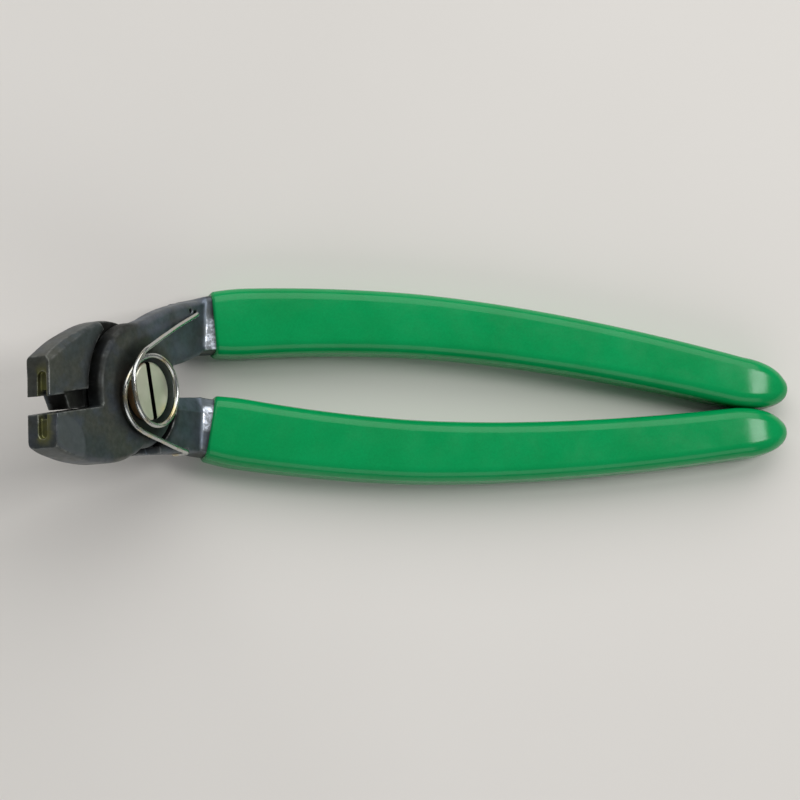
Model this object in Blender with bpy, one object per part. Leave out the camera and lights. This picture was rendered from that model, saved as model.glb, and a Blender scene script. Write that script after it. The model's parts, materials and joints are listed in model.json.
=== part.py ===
"""Spring-closed ring pliers with an angled head and dipped grips.

Every piece is drawn flat, as the forging is before it is bent, in the head's own frame:
a runs along the head from the jaws to the handles, b across it towards the upper handle,
and h along the pivot's axis, out of the face that carries the spring. The pivot is the origin.
bend() then folds whatever lies past the fold line down into the plane of the handles, and an
empty on the pivot's axis stands the whole tool on its grips. Sizes are in millimetres.
"""

import math

import bmesh
import bpy
from mathutils import Matrix, Vector

MM = 0.001
GAP = 0.3  # between pieces that touch on the real tool

# Where the head meets the handles
HEAD_ANGLE = math.radians(45.0)  # from the handles' plane up to the head's plane
HEAD_SKEW = math.radians(13.5)  # the head's axis, turned in its own plane from the handles' line
FOLD_DISTANCE = 23.8  # pivot to the fold, square to the fold
FOLD_RADIUS = 6.0  # of the fold, on the forging's middle plane
HANDLE_MIDLINE = 7.4  # from the pivot to the handles' line, measured along the fold

# The two forgings
FACE = 4.0  # half the thickness of the closed joint
LAP = 0.5 * GAP  # from the joint's middle plane to each lap face
FORGED_ROUND = 1.3  # rounding of the forged edges
NOTCH = 1.85  # half the width of the gap that takes the clip
NOTCH_END = (-25.5, -24.2)  # the notch's end wall, at its upper and its lower corner
TIP = -31.4  # the jaws' end face at the head's axis
TIP_LEAN = 0.14  # how far the end face runs on towards the tip for each mm downwards
UPPER_JAW_FACE = 2.0  # height of the upper jaw's face, a step below the boss
JAW_STEP_START = -5.2  # where the upper jaw's face starts to fall to that height
JAW_STEP_RUN = 2.0
SHANK_FLAT_EDGE = [(9.0, -4.35), (30.0, -8.05)]  # a line on the lower shank's face
SHANK_FLAT_WIDTH = 5.0
SHANK_FLAT_DROP = 2.4
BOSS_RADIUS = 15.2  # of the boss on its jaw side
CHEEK_RADIUS = 12.4  # of the boss on its handle side
CHEEK_CLEARANCE = 0.5
SHOULDER_RADIUS = 17.0  # of the step that clears the boss
SHOULDER_END = 122.0  # degrees round the pivot, where the shoulder ends at the jaw's outer edge
LOWER_LAP_RADIUS = 13.9  # of the back half under the lower jaw
CHANNEL_START = NOTCH_END[0] - 0.6  # the sunk channel that runs on from the notch to the joint
CHANNEL_FOOT = -14.0
CHANNEL_SIDE = 2.2
WEB_REACH = 16.2  # of the clearance for the channel's floor, under the lower jaw
CLIP_GROOVE_HALF_WIDTH = 1.15
CLIP_GROOVE_LENGTH = 5.3
CLIP_GROOVE_DEPTH = 1.2
SPRING_NOTCH = (12.6, 14.8)  # along the lower shank's outer edge
SPRING_NOTCH_FLOOR = -13.85

# How far the front half turns, and the rays that clear each arm's root at rest, in degrees round the pivot
OPENING = 26.0
UPPER_JAW_ROOT = 64.0
UPPER_SHANK_ROOT = 80.0
LOWER_JAW_ROOT = 262.0
LOWER_SHANK_ROOT = -86.0
LAP_HUB = 10.0  # inner radius of the clearances, within both discs
LAP_PAST = 5.0  # degrees that a clearance runs on past the arm it clears
SHOULDER_START = 96.0
SHOULDER_FOOT = 190.0
LOWER_JAW_LAP = 188.0
UPPER_SHANK_LAP = -8.0

# Cutters
PAST = 1.0  # how far a cutter runs on past the face it opens
FAR = 60.0  # past the edge of the whole head
CLEAR = 6.0  # past the jaws' end face

# Pivot hardware
SCREW_HEAD_RADIUS = 6.35
SCREW_HEAD_TOP = 6.3
SCREW_SHANK_RADIUS = 3.6
SCREW_EDGE_ROUND = 0.5
SCREW_END = 0.6  # of thread past the nut
SLOT_HALF_WIDTH = 0.65
SLOT_DEPTH = 1.3
SLOT_ANGLE = math.radians(94.0)
WASHER_RADIUS = 6.4
WASHER_THICKNESS = 0.8
NUT_RADIUS = 6.35  # across the corners
NUT_THICKNESS = 3.2

# Return spring
WIRE_RADIUS = 0.55
COIL = [  # angle in degrees, radius and height, from the upper arm down to the lower arm
    (98.0, 9.45, 7.4),
    (121.0, 8.9, 7.5),
    (139.0, 8.75, 7.5),
    (155.0, 8.5, 7.5),
    (172.0, 7.95, 7.5),
    (190.0, 7.65, 7.5),
    (230.0, 7.6, 7.5),
    (270.0, 7.65, 7.5),
    (315.0, 7.7, 7.5),
    (360.0, 7.75, 7.5),
    (405.0, 7.7, 7.4),
    (440.0, 7.7, 7.05),
    (470.0, 7.7, 6.55),
    (495.0, 7.75, 6.1),
    (512.0, 7.95, 5.7),
    (530.0, 8.3, 5.3),
    (550.0, 8.55, 5.0),
    (575.0, 8.75, 4.87),
    (600.0, 8.9, 4.86),
]
ARM_HOLE = (23.0, 15.4)
SPARE_HOLE = (21.2, 16.2)
ARM_HOLE_RADIUS = WIRE_RADIUS + GAP
SPARE_HOLE_RADIUS = 0.55
ARM_HOLE_DEPTH = 2.6
UPPER_ARM = [(22.6, 15.3, 4.6), (20.8, 14.9, 5.0), (14.0, 13.4, 5.7), (5.6, 11.3, 6.75)]
LOWER_ARM = [
    (-2.2, -8.85, 4.86),
    (2.3, -10.6, 4.86),
    (8.0, -12.85, 4.86),
    (11.4, -14.05, 4.85),
    (12.9, -14.5, 4.75),
    (13.6, -14.75, 3.9),
    (13.7, -14.8, 2.4),
    (13.7, -14.8, 0.6),
]
ARM_END = 2.2  # height of the upper arm's end, in its hole
ARM_BEND = 3.6
WIRE_STEPS = 3

# Handles, in their own flat frame: x from the fold to the tips, y from their midline
BOW_X = 48.0  # where the handles stand widest apart
BOW = 14.4  # centre of the grip from the midline there
BOW_FALL_HEAD = 3.2  # fall of the bow at the fold
BOW_FALL_TIP = 8.5  # and where the tip begins
BOW_POWER_TIP = 1.7
TIP_START = 126.0
TIP_SLOPE = 0.097
GRIP_END = 138.4
GRIP_START = 3.8
GRIP_HALF_WIDTH = 7.65
GRIP_TAPER = 0.0164  # loss of half width for each mm past TAPER_START
TAPER_START = 10.0
GRIP_HALF_THICKNESS = 5.3
GRIP_CORNER = 3.0
CAVITY_CORNER = 1.5
GRIP_WALL = 1.0
LIP_THINNING = 0.5  # of the grip's wall, where the dip ends
LIP_LENGTH = 8.0
LIP_ROUND = 0.5
TANG_END = 124.0
TIP_POWER = 2.2
STATION_STEP = 6

# The tool's own origin, under the middle of its box
ORIGIN_X = 48.23
ORIGIN_Y = -1.858

ARC_STEP = 6.0  # degrees
COARSE_STEP = 18.0
OUTLINE_STEPS = 2
LAP_SIDES = 60
HOLE_SIDES = 24
SMALL_HOLE_SIDES = 12
TURNED_SIDES = 32
SCREW_SIDES = 48
FOLD_SLICES = 6
SHARP_ANGLE = math.radians(30.0)


def clear_scene():
    for thing in list(bpy.data.objects):
        bpy.data.objects.remove(thing, do_unlink=True)


def material(name, colour, roughness, metallic):
    made = bpy.data.materials.new(name)
    made.use_nodes = True
    shader = made.node_tree.nodes["Principled BSDF"]
    shader.inputs["Base Color"].default_value = (*colour, 1.0)
    shader.inputs["Roughness"].default_value = roughness
    shader.inputs["Metallic"].default_value = metallic
    return made


def head_frame():
    """Where the pivot stands, and how the head's frame is turned, on a tool that lies on its grips."""
    turn = Matrix.Rotation(HEAD_ANGLE, 4, "Y") @ Matrix.Rotation(HEAD_SKEW, 4, "Z")
    back = FOLD_DISTANCE * math.cos(HEAD_ANGLE)
    up = FOLD_DISTANCE * math.sin(HEAD_ANGLE)
    place = Vector((-back - ORIGIN_X, -HANDLE_MIDLINE - ORIGIN_Y, up + GRIP_HALF_THICKNESS))
    return Matrix.Translation(place * MM) @ turn


def along_and_across(a, b):
    """The flat point's distance past the fold, and its distance along it from the handles' midline."""
    along = a * math.cos(HEAD_SKEW) - b * math.sin(HEAD_SKEW) - FOLD_DISTANCE
    across = a * math.sin(HEAD_SKEW) + b * math.cos(HEAD_SKEW) - HANDLE_MIDLINE
    return along, across


def from_handle(x, y):
    """The flat head point that is x past the fold and y from the handles' midline."""
    along = x + FOLD_DISTANCE
    across = y + HANDLE_MIDLINE
    a = along * math.cos(HEAD_SKEW) + across * math.sin(HEAD_SKEW)
    b = across * math.cos(HEAD_SKEW) - along * math.sin(HEAD_SKEW)
    return a, b


def bend(a, b, h):
    """A flat point in millimetres, folded, in the head's frame and in metres."""
    reach = FOLD_RADIUS * math.tan(HEAD_ANGLE / 2)
    along, across = along_and_across(a, b)
    if along <= -reach:
        return Vector((a, b, h)) * MM
    left = HEAD_ANGLE * (1 - min((along + reach) / (2 * reach), 1.0))
    past = max(along - reach, 0.0)
    x = reach + past - (FOLD_RADIUS - h) * math.sin(left)
    z = FOLD_RADIUS - (FOLD_RADIUS - h) * math.cos(left)
    # x and z lie in the handles' plane and square to it, and turn back into the head's frame.
    level = x * math.cos(HEAD_ANGLE) - z * math.sin(HEAD_ANGLE)
    rise = x * math.sin(HEAD_ANGLE) + z * math.cos(HEAD_ANGLE)
    a, b = from_handle(level, across)
    return Vector((a, b, rise)) * MM


def arc(radius, start, end, centre=(0.0, 0.0), step=ARC_STEP):
    """Points on a circle from one angle to another, in degrees, either way round."""
    steps = max(1, math.ceil(abs(end - start) / step))
    start = math.radians(start)
    sweep = math.radians(end) - start
    angles = [start + sweep * i / steps for i in range(steps + 1)]
    return [(centre[0] + radius * math.cos(t), centre[1] + radius * math.sin(t)) for t in angles]


def smooth_through(points, steps):
    """A Catmull-Rom curve through the points, with the given number of steps between two of them."""
    points = [Vector(p) for p in points]
    before = 2 * points[0] - points[1]
    after = 2 * points[-1] - points[-2]
    padded = [before, *points, after]
    made = []
    for p0, p1, p2, p3 in zip(padded, padded[1:], padded[2:], padded[3:]):
        for i in range(steps):
            t = i / steps
            linear = (p2 - p0) * t
            square = (2 * p0 - 5 * p1 + 4 * p2 - p3) * t**2
            cube = (3 * p1 - p0 - 3 * p2 + p3) * t**3
            made.append(tuple((2 * p1 + linear + square + cube) * 0.5))
    return [*made, tuple(points[-1])]


def handle_centre(x):
    """Distance of the handle's centreline from the midline."""
    if x > TIP_START:
        return BOW - BOW_FALL_TIP - (x - TIP_START) * TIP_SLOPE
    if x > BOW_X:
        return BOW - BOW_FALL_TIP * ((x - BOW_X) / (TIP_START - BOW_X)) ** BOW_POWER_TIP
    return BOW - BOW_FALL_HEAD * ((x - BOW_X) / BOW_X) ** 2


def grip_half_width(x):
    return GRIP_HALF_WIDTH - GRIP_TAPER * max(0.0, x - TAPER_START)


def tang_half_width(x):
    return grip_half_width(x) - GRIP_WALL - GAP


def tang_edge(x, side, outer):
    """A point on the tang's edge: side is 1 for the upper handle and -1 for the lower one."""
    offset = tang_half_width(x) if outer else -tang_half_width(x)
    return from_handle(x, side * (handle_centre(x) + offset))


def tang_outline(side):
    """From the fold along the tang's inner edge, round its end, and back along its outer edge."""
    stations = [0.0, 8.0, 18.0, 30.0, 42.0, 54.0, 66.0, 78.0, 90.0, 102.0, 112.0]
    end_radius = tang_half_width(TANG_END)
    centre_x = TANG_END - end_radius
    middle = from_handle(centre_x, side * handle_centre(centre_x))
    line = -math.degrees(HEAD_SKEW)
    inner = [tang_edge(x, side, False) for x in stations]
    outer = [tang_edge(x, side, True) for x in reversed(stations)]
    end = arc(end_radius, line - side * 90.0, line + side * 90.0, middle, COARSE_STEP)
    return [*inner, *end, *outer]


def tip_at(b):
    return TIP + TIP_LEAN * b


def front_outline():
    """Lower jaw, boss and upper shank, counter-clockwise from the lower jaw's outer corner."""
    jaw = smooth_through(
        [
            (tip_at(-9.1), -9.1),
            (-30.3, -10.35),
            (-27.0, -11.5),
            (-21.8, -13.05),
            (-16.6, -14.0),
            (-12.5, -14.4),
            (-8.6, -14.2),
            (-3.9, -13.2),
        ],
        OUTLINE_STEPS,
    )
    cheek = arc(CHEEK_RADIUS, -98.0, 14.0)
    shank_in = [(13.4, 4.6), (17.0, 4.9)]
    shank_out = [(25.2, 18.15), (19.5, 18.1), (14.0, 17.6), (9.0, 16.75), (4.6, 15.6)]
    boss = arc(BOSS_RADIUS, 84.0, 187.0)
    outer = smooth_through(shank_out, OUTLINE_STEPS)
    forged = [*jaw, *cheek, *shank_in, *tang_outline(1), *outer, *boss]
    machined = [(tip_at(-NOTCH), -NOTCH)]
    return forged, machined


def back_outline():
    """Upper jaw, lap disc and lower shank, clockwise from the upper jaw's outer corner."""
    jaw = smooth_through(
        [
            (tip_at(10.4), 10.4),
            (-25.4, 12.45),
            (-20.4, 14.05),
            (-15.5, 15.3),
            (-11.5, 16.05),
            (-7.6, 16.3),
            (-3.9, 15.95),
            (0.0, 15.0),
            (4.4, 12.4),
        ],
        OUTLINE_STEPS,
    )
    cheek = arc(CHEEK_RADIUS, 62.0, -8.0)
    shank_in = [(13.6, -2.3), (17.4, -2.7)]
    shank_out = [(15.1, -14.9), (9.5, -14.4), (4.5, -14.1)]
    lap = arc(LOWER_LAP_RADIUS, 278.0, 188.0)
    forged = [*jaw, *cheek, *shank_in, *tang_outline(-1), *shank_out, *lap]
    web = -NOTCH + GAP
    machined = [(NOTCH_END[1], web), (NOTCH_END[0], NOTCH), (tip_at(NOTCH), NOTCH)]
    return forged, machined


def loft(name, rings):
    """A closed solid through rings of as many points each, with flat ends."""
    bm = bmesh.new()
    made = [[bm.verts.new(point) for point in ring] for ring in rings]
    bm.faces.new(made[0])
    bm.faces.new(made[-1])
    for ring, following in zip(made, made[1:]):
        for i in range(len(ring)):
            j = (i + 1) % len(ring)
            bm.faces.new((ring[i], ring[j], following[j], following[i]))
    bmesh.ops.recalc_face_normals(bm, faces=bm.faces)
    return to_object(name, bm)


def prism(name, outline, low, high):
    """A closed solid of the outline between two heights, still flat and in millimetres."""
    return loft(name, [[(a, b, h) for a, b in outline] for h in (low, high)])


def to_object(name, bm):
    mesh = bpy.data.meshes.new(name)
    bm.to_mesh(mesh)
    bm.free()
    made = bpy.data.objects.new(name, mesh)
    bpy.context.scene.collection.objects.link(made)
    return made


def rounded_forging(name, forged, machined):
    """The outline's prism with its forged edges rounded. Its machined edges stay sharp."""
    made = prism(name, [*forged, *machined], -FACE, FACE)
    bm = bmesh.new()
    bm.from_mesh(made.data)
    bm.verts.ensure_lookup_table()
    count = len(forged) + len(machined)
    rims = []
    for i in range(len(forged) - 1):
        for base in (0, count):
            rims.append(bm.edges.get((bm.verts[base + i], bm.verts[base + i + 1])))
    bmesh.ops.bevel(
        bm, geom=rims, offset=FORGED_ROUND, segments=2, profile=0.5, affect="EDGES", clamp_overlap=True
    )
    bm.to_mesh(made.data)
    bm.free()
    return made


def cylinder(name, radius, low, high, centre=(0.0, 0.0), sides=HOLE_SIDES):
    ring = arc(radius, 0.0, 360.0, centre, 360.0 / sides)
    return prism(name, ring[:-1], low, high)


def hide_cutter(cutter):
    cutter.hide_render = True
    cutter.display_type = "WIRE"


def cut(target, cutters):
    """The target with each cutter taken out, as a bmesh. The cutters are used up."""
    for cutter in cutters:
        hide_cutter(cutter)
        step = target.modifiers.new(cutter.name, "BOOLEAN")
        step.operation = "DIFFERENCE"
        step.solver = "EXACT"
        step.object = cutter
    graph = bpy.context.evaluated_depsgraph_get()
    graph.update()
    result = bpy.data.meshes.new_from_object(target.evaluated_get(graph), depsgraph=graph)
    bm = bmesh.new()
    bm.from_mesh(result)
    bpy.data.meshes.remove(result)
    for used in [target, *cutters]:
        bpy.data.objects.remove(used, do_unlink=True)
    return bm


def slice_at_fold(bm):
    """Cuts across the fold, so that the bent faces follow its curve."""
    reach = FOLD_RADIUS * math.tan(HEAD_ANGLE / 2)
    square = Vector((math.cos(HEAD_SKEW), -math.sin(HEAD_SKEW), 0.0))
    for i in range(FOLD_SLICES + 1):
        distance = FOLD_DISTANCE - reach + 2 * reach * i / FOLD_SLICES
        everything = [*bm.verts, *bm.edges, *bm.faces]
        bmesh.ops.bisect_plane(bm, geom=everything, plane_co=square * distance, plane_no=square)


def finish_flat(name, bm, look, pivot):
    """Folds a flat solid, and makes it a named object of the tool."""
    bmesh.ops.triangulate(bm, faces=bm.faces)
    for vert in bm.verts:
        vert.co = bend(*vert.co)
    made = to_object(name, bm)
    dress(made, look, pivot)
    return made


def dress(made, look, pivot):
    made.data.materials.append(look)
    made.parent = pivot
    if made.type == "MESH":
        made.data.shade_smooth()
        made.data.set_sharp_from_angle(angle=SHARP_ANGLE)


def clip_groove_cutters(side, name):
    """The groove that the clip lies in: down the jaw's end face, and along its side of the notch."""
    width = CLIP_GROOVE_HALF_WIDTH
    reach = NOTCH + CLIP_GROOVE_LENGTH - width
    round_end = [(side * (reach + b), h) for b, h in arc(width, -90.0, 90.0, step=COARSE_STEP)]
    middle = side * (NOTCH - PAST)
    profile = [(middle, -width), *round_end, (middle, width)]
    end_face = loft(
        name + "_end_groove",
        [
            [(TIP - CLEAR, b, h) for b, h in profile],
            [(tip_at(b) + CLIP_GROOVE_DEPTH, b, h) for b, h in profile],
        ],
    )
    inner = NOTCH_END[0] - PAST
    wall = side * (NOTCH + CLIP_GROOVE_DEPTH)
    notch_wall = [(TIP - CLEAR, 0.0), (inner, 0.0), (inner, wall), (TIP - CLEAR, wall)]
    return [end_face, prism(name + "_notch_groove", notch_wall, -width, width)]


def sector(start, end, radius=FAR):
    """A ring sector's outline: everything past the laps' hub between two angles."""
    return [*arc(LAP_HUB, start, end), *arc(radius, end, start)]


def build_front_half(look, pivot):
    made = rounded_forging("front_half", *front_outline())
    low = -FACE - PAST
    top = FACE + PAST
    edge = -NOTCH - LAP
    web = [(-WEB_REACH, edge), (-LAP_HUB, edge), (-LAP_HUB, PAST), (-WEB_REACH, PAST)]
    floor = FACE - ARM_HOLE_DEPTH
    cutters = [
        cylinder("lap_disc", LOWER_LAP_RADIUS + GAP, low, LAP, sides=LAP_SIDES),
        prism("lap_upper_jaw", sector(UPPER_JAW_ROOT - OPENING, 180.0), low, LAP),
        prism("lap_lower_shank", sector(LOWER_SHANK_ROOT - OPENING, LAP_PAST), low, LAP),
        prism("lap_web", web, low, LAP),
        cylinder("pivot_hole", SCREW_SHANK_RADIUS + GAP, low, top),
        cylinder("arm_hole", ARM_HOLE_RADIUS, floor, top, ARM_HOLE, SMALL_HOLE_SIDES),
        cylinder("spare_hole", SPARE_HOLE_RADIUS, floor, top, SPARE_HOLE, SMALL_HOLE_SIDES),
        *clip_groove_cutters(-1, "lower"),
    ]
    bm = cut(made, cutters)
    slice_at_fold(bm)
    return finish_flat("front_half", bm, look, pivot)


def step_down_jaw(made):
    """Lowers the upper jaw's face below the boss, with a slope that the boss's recess cuts away."""
    bm = bmesh.new()
    bm.from_mesh(made.data)
    for a in (JAW_STEP_START, JAW_STEP_START - JAW_STEP_RUN):
        everything = [*bm.verts, *bm.edges, *bm.faces]
        bmesh.ops.bisect_plane(bm, geom=everything, plane_co=(a, 0.0, 0.0), plane_no=(1.0, 0.0, 0.0))
    for vert in bm.verts:
        share = (JAW_STEP_START - vert.co.x) / JAW_STEP_RUN
        if vert.co.z > 0.0:
            vert.co.z -= (FACE - UPPER_JAW_FACE) * min(max(share, 0.0), 1.0)
    bm.to_mesh(made.data)
    bm.free()


def recess_ramp():
    """The sunk channel from the notch's end wall to the joint, falling from the jaw's face to the lap."""
    start, end = CHANNEL_START, CHANNEL_FOOT
    top = FACE + PAST
    profile = [(start, UPPER_JAW_FACE), (end, LAP), (end, top), (start, top)]
    sides = (-NOTCH - PAST, CHANNEL_SIDE)
    return loft("recess_ramp", [[(a, b, h) for a, h in profile] for b in sides])


def shank_flat():
    """The broad flat along the lower shank's inner top edge."""
    rings = []
    top = FACE + PAST
    for a, b in SHANK_FLAT_EDGE:
        over = b + SHANK_FLAT_WIDTH
        rings.append([(a, b, FACE), (a, over, FACE - SHANK_FLAT_DROP), (a, over, top), (a, b, top)])
    return loft("shank_flat", rings)


def spring_notch():
    """The notch across the lower shank's outer edge that the spring's lower arm hooks into."""
    start, end = SPRING_NOTCH
    outline = [(start, -FAR), (end, -FAR), (end, SPRING_NOTCH_FLOOR), (start, SPRING_NOTCH_FLOOR)]
    return prism("spring_notch", outline, -FACE - PAST, FACE + PAST)


def build_back_half(look, pivot):
    made = rounded_forging("back_half", *back_outline())
    step_down_jaw(made)
    top = FACE + PAST
    cutters = [
        cylinder("cheek_recess", CHEEK_RADIUS + CHEEK_CLEARANCE, -LAP, top, sides=LAP_SIDES),
        prism("boss_recess", sector(SHOULDER_START, SHOULDER_FOOT, SHOULDER_RADIUS), -LAP, top),
        prism("lap_upper_shank", sector(UPPER_SHANK_LAP, UPPER_SHANK_ROOT + OPENING), -LAP, top),
        prism("shoulder_end", sector(SHOULDER_START, SHOULDER_END), -LAP, top),
        prism("lap_lower_jaw", sector(LOWER_JAW_LAP, LOWER_JAW_ROOT + OPENING), -LAP, top),
        cylinder("pivot_hole", SCREW_SHANK_RADIUS + GAP, -top, top),
        recess_ramp(),
        shank_flat(),
        spring_notch(),
        *clip_groove_cutters(1, "upper"),
    ]
    bm = cut(made, cutters)
    slice_at_fold(bm)
    return finish_flat("back_half", bm, look, pivot)


def turned(name, profile, sides=TURNED_SIDES):
    """A solid of revolution about the pivot's axis, from (radius, h) pairs, lowest first."""
    step = 2 * math.pi / sides
    rings = []
    for radius, h in profile:
        rings.append([(radius * math.cos(i * step), radius * math.sin(i * step), h) for i in range(sides)])
    return loft(name, rings)


def build_screw(look, pivot):
    edge = SCREW_HEAD_RADIUS - SCREW_EDGE_ROUND
    shoulder = FACE + GAP
    end = -FACE - 2 * GAP - WASHER_THICKNESS - NUT_THICKNESS - SCREW_END
    chamfer = 0.3 * SCREW_EDGE_ROUND
    made = turned(
        "pivot_screw",
        [
            (SCREW_SHANK_RADIUS - SCREW_EDGE_ROUND, end),
            (SCREW_SHANK_RADIUS, end + SCREW_EDGE_ROUND),
            (SCREW_SHANK_RADIUS, shoulder),
            (SCREW_HEAD_RADIUS, shoulder),
            (SCREW_HEAD_RADIUS, SCREW_HEAD_TOP - SCREW_EDGE_ROUND),
            (SCREW_HEAD_RADIUS - chamfer, SCREW_HEAD_TOP - chamfer),
            (edge, SCREW_HEAD_TOP),
        ],
        sides=SCREW_SIDES,
    )
    along = Vector((math.cos(SLOT_ANGLE), math.sin(SLOT_ANGLE))) * (SCREW_HEAD_RADIUS + PAST)
    aside = Vector((-math.sin(SLOT_ANGLE), math.cos(SLOT_ANGLE))) * SLOT_HALF_WIDTH
    corners = [along + aside, aside - along, -along - aside, along - aside]
    slot = prism("slot", [tuple(c) for c in corners], SCREW_HEAD_TOP - SLOT_DEPTH, SCREW_HEAD_TOP + PAST)
    return finish_flat("pivot_screw", cut(made, [slot]), look, pivot)


def build_washer(look, pivot):
    high = -FACE - GAP
    made = turned("pivot_washer", [(WASHER_RADIUS, high - WASHER_THICKNESS), (WASHER_RADIUS, high)])
    bore = cylinder("washer_bore", SCREW_SHANK_RADIUS + GAP, high - WASHER_THICKNESS - PAST, high + PAST)
    return finish_flat("pivot_washer", cut(made, [bore]), look, pivot)


def build_nut(look, pivot):
    high = -FACE - 2 * GAP - WASHER_THICKNESS
    low = high - NUT_THICKNESS
    made = cylinder("pivot_nut", NUT_RADIUS, low, high, sides=6)
    bore = cylinder("nut_bore", SCREW_SHANK_RADIUS + GAP, low - PAST, high + PAST)
    return finish_flat("pivot_nut", cut(made, [bore]), look, pivot)


def spring_route():
    """The wire's middle line: upper arm, coil from its top turn down, lower arm and its hook."""
    coil = []
    for angle, radius, height in smooth_through(COIL, WIRE_STEPS):
        turn = math.radians(angle)
        coil.append((radius * math.cos(turn), radius * math.sin(turn), height))
    upper = smooth_through([(*ARM_HOLE, ARM_END), (*ARM_HOLE, ARM_BEND), *UPPER_ARM, coil[0]], WIRE_STEPS)
    lower = smooth_through([coil[-1], *LOWER_ARM], WIRE_STEPS)
    return [*upper[:-1], *coil, *lower[1:]]


def build_spring(look, pivot):
    curve = bpy.data.curves.new("return_spring", "CURVE")
    curve.dimensions = "3D"
    curve.bevel_depth = WIRE_RADIUS * MM
    curve.bevel_resolution = 2
    curve.use_fill_caps = True
    route = spring_route()
    spline = curve.splines.new("POLY")
    spline.points.add(len(route) - 1)
    for point, place in zip(spline.points, route):
        point.co = (*(Vector(place) * MM), 1.0)
    made = bpy.data.objects.new("return_spring", curve)
    bpy.context.scene.collection.objects.link(made)
    dress(made, look, pivot)
    return made


def section(half_width, half_thickness, corner, steps=4):
    """A rectangle with round corners, square to a handle: across it, then out of its plane."""
    corner = min(corner, half_width, half_thickness)
    points = []
    for i, (side, face) in enumerate([(1, 1), (-1, 1), (-1, -1), (1, -1)]):
        for j in range(steps + 1):
            angle = math.radians(90.0 * (i + j / steps))
            across = side * (half_width - corner) + corner * math.cos(angle)
            points.append((across, face * (half_thickness - corner) + corner * math.sin(angle)))
    return points


def handle_ring(x, side, outline):
    """A section placed square to the handle's centreline, as bent points."""
    slope = side * (handle_centre(x + 0.1) - handle_centre(x - 0.1)) / 0.2
    turn = math.atan(slope)
    ring = []
    for across, h in outline:
        flat = from_handle(x - across * math.sin(turn), side * handle_centre(x) + across * math.cos(turn))
        ring.append(bend(*flat, h))
    return ring


def grip_ring(x, side, inset):
    share = max(0.0, (x - TIP_START) / (GRIP_END - TIP_START))
    size = (1.0 - share**TIP_POWER) ** (1.0 / TIP_POWER)
    lip = LIP_THINNING * max(0.0, 1.0 - (x - GRIP_START) / LIP_LENGTH) ** 2
    width = grip_half_width(x) * size - inset - lip
    return handle_ring(x, side, section(width, GRIP_HALF_THICKNESS * size - inset, GRIP_CORNER))


def cavity_ring(x, side):
    radius = tang_half_width(TANG_END) + GAP
    share = max(0.0, (x - (TANG_END - radius)) / (radius + 0.5))
    width = (grip_half_width(x) - GRIP_WALL) * math.sqrt(1.0 - share**2)
    return handle_ring(x, side, section(width, GRIP_HALF_THICKNESS - GRIP_WALL, CAVITY_CORNER))


def build_grip(name, side, look, pivot):
    """A dipped sleeve, open where the tang enters it, with its rim rounded over."""
    body = [GRIP_START + LIP_ROUND, 6.5, *range(9, 120, STATION_STEP), 123.0]
    tip = [TIP_START + 1.0, 129.5, 131.7, 133.6, 135.2, 136.5, 137.5, 138.2]
    outer = [grip_ring(GRIP_START, side, LIP_ROUND), *(grip_ring(x, side, 0.0) for x in [*body, *tip])]
    depth = [GRIP_START, *range(9, 118, STATION_STEP), 120.0, 122.0, 123.4, 124.2]
    inner = [cavity_ring(x, side) for x in depth]
    made = loft(name, [*reversed(inner), *outer])
    dress(made, look, pivot)
    return made


def main():
    clear_scene()
    pivot = bpy.data.objects.new("pivot_axis", None)
    bpy.context.scene.collection.objects.link(pivot)
    pivot.matrix_world = head_frame()
    steel = material("forged_steel", (0.075, 0.085, 0.09), 0.42, 0.9)
    nickel = material("nickel_plate", (0.40, 0.41, 0.33), 0.3, 1.0)
    zinc = material("zinc_plate", (0.35, 0.36, 0.35), 0.4, 1.0)
    wire = material("spring_wire", (0.55, 0.56, 0.52), 0.22, 1.0)
    vinyl = material("green_vinyl", (0.003, 0.28, 0.075), 0.3, 0.0)
    build_front_half(steel, pivot)
    build_back_half(steel, pivot)
    build_screw(nickel, pivot)
    build_washer(zinc, pivot)
    build_nut(zinc, pivot)
    build_spring(wire, pivot)
    build_grip("upper_grip", 1, vinyl, pivot)
    build_grip("lower_grip", -1, vinyl, pivot)


main()
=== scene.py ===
"""Looks of the spring-closed ring pliers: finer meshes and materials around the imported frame.

The forgings, the pivot's hardware, the spring and the grips are drawn as the part draws them:
flat, in millimetres, in the head's own frame (a along the head from the jaws to the handles,
b across it towards the upper handle, h along the pivot's axis), and then folded and stood
on the pivot that the frame gives.
"""

import json
import math

import bmesh
import bpy
import numpy as np
from mathutils import Matrix, Vector


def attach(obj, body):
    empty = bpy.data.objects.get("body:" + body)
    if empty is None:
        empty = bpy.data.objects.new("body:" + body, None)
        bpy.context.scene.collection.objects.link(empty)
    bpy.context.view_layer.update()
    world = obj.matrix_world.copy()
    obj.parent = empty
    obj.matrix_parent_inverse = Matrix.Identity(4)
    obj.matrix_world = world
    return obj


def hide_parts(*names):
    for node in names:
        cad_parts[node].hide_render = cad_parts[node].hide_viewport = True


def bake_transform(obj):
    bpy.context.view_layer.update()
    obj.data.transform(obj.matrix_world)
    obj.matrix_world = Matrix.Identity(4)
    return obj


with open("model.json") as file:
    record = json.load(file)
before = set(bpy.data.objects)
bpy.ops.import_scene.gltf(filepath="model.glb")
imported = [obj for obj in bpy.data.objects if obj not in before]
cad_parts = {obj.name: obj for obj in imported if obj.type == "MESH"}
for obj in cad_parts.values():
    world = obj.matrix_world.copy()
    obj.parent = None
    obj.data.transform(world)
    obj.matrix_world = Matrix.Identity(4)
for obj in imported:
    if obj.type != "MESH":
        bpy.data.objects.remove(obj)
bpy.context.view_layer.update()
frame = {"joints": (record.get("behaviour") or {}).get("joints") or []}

MM = 0.001
GAP = 0.3

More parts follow.
